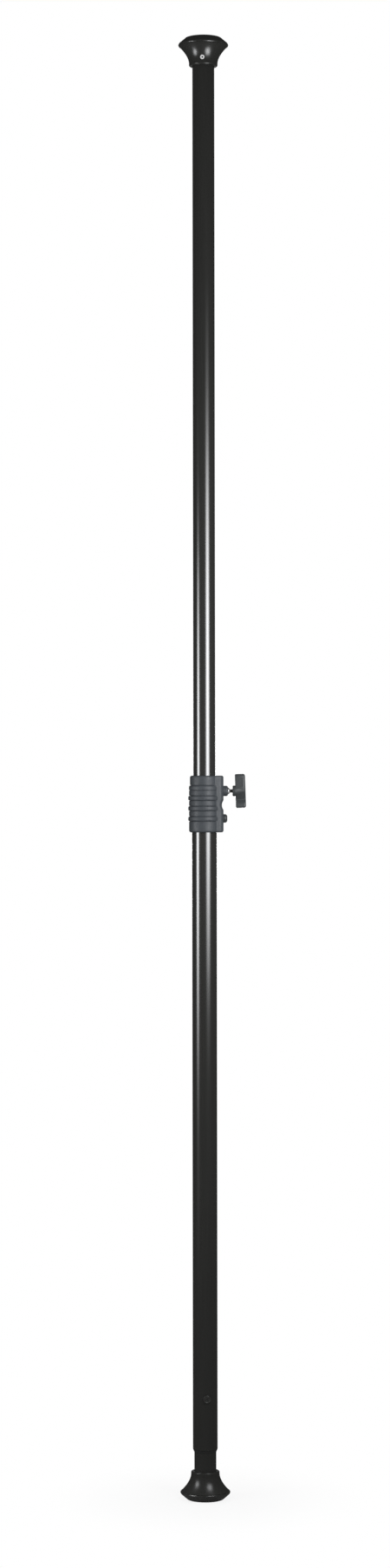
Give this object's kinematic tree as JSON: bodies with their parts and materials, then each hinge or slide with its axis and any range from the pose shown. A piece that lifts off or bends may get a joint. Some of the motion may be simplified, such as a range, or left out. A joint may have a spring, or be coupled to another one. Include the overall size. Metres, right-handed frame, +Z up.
{
  "type": "lighting stand",
  "caption": "Telescopic floor-to-ceiling lighting pole with a ribbed clamp collar, T-knob, push-button lock and a spring-loaded foot.",
  "frame": {"origin": "centre of the floor pad's flat face", "axes": "+Z up along the pole, +X towards the clamp knob, -Y is the front"},
  "size_m": [0.1209, 0.0916, 2.658],
  "materials": {
    "tube_black": "gloss",
    "cup_black": "gloss",
    "rubber": "satin",
    "collar_grey": "matte",
    "knob_grey": "matte",
    "steel": "satin",
    "black_steel": "satin",
    "bright_metal": "polished",
    "nylon": "satin"
  },
  "bodies": {
    "mast_lower": {"lower_tube": "tube_black", "plunger_sleeve": "nylon", "guide_screw": "black_steel", "spring_stop": "nylon", "foot_spring": "steel", "collar_housing": "collar_grey", "collar_bush": "nylon", "collar_set_screw": "steel", "screw_insert": "bright_metal", "lever_pin": "steel", "lock_spring": "steel"},
    "foot": {"floor_pad": "rubber", "bottom_cup": "cup_black", "foot_plug": "nylon", "foot_washer": "steel", "foot_screw": "steel", "foot_plunger": "tube_black"},
    "glide": {"glide_ring": "nylon"},
    "mast_upper": {"upper_tube": "tube_black", "glide_plug": "nylon", "top_cup": "cup_black", "ceiling_pad": "rubber", "top_plug": "nylon", "top_washer": "steel", "top_screw": "steel"},
    "clamp_shoe": {"brake_shoe": "nylon"},
    "clamp_knob": {"t_knob": "knob_grey", "knob_stud": "black_steel"},
    "button": {"release_button": "knob_grey"},
    "lever": {"lock_lever": "steel"}
  },
  "joints": [
    {"name": "foot_plunge", "type": "slide", "parent": "mast_lower", "child": "foot", "axis": [0, 0, 1], "range_m": [0, 0.028], "stiffness_N_per_m": 9000, "springref_m": -0.012, "deforming": ["foot_spring"]},
    {"name": "mast_slide", "type": "slide", "parent": "mast_lower", "child": "glide", "axis": [0, 0, 1], "range_m": [-0.958, 0.042]},
    {"name": "mast_swivel", "type": "hinge", "parent": "glide", "child": "mast_upper", "pos_m": [0, 0, 1.2223], "axis": [0, 0, 1], "continuous": true},
    {"name": "knob_turn", "type": "hinge", "parent": "clamp_shoe", "child": "clamp_knob", "pos_m": [0.0514, 0, 1.2883], "axis": [1, 0, 0], "range_deg": [0, 721]},
    {"name": "clamp_screw_travel", "type": "slide", "parent": "mast_lower", "child": "clamp_shoe", "axis": [1, 0, 0], "range_m": [0, 0.002]},
    {"name": "button_press", "type": "slide", "parent": "mast_lower", "child": "button", "axis": [-1, 0, 0], "range_m": [0, 0.002], "stiffness_N_per_m": 1500, "springref_m": -0.003},
    {"name": "lever_tilt", "type": "hinge", "parent": "mast_lower", "child": "lever", "pos_m": [0.0272, 0, 1.256], "axis": [0, 1, 0], "range_deg": [0, 7], "deforming": ["lock_spring"]}
  ],
  "couplings": [
    {"joint": "knob_turn", "follows": "clamp_screw_travel", "rad_per_m": 6283.2},
    {"joint": "lever_tilt", "follows": "button_press", "rad_per_m": 56.338}
  ]
}
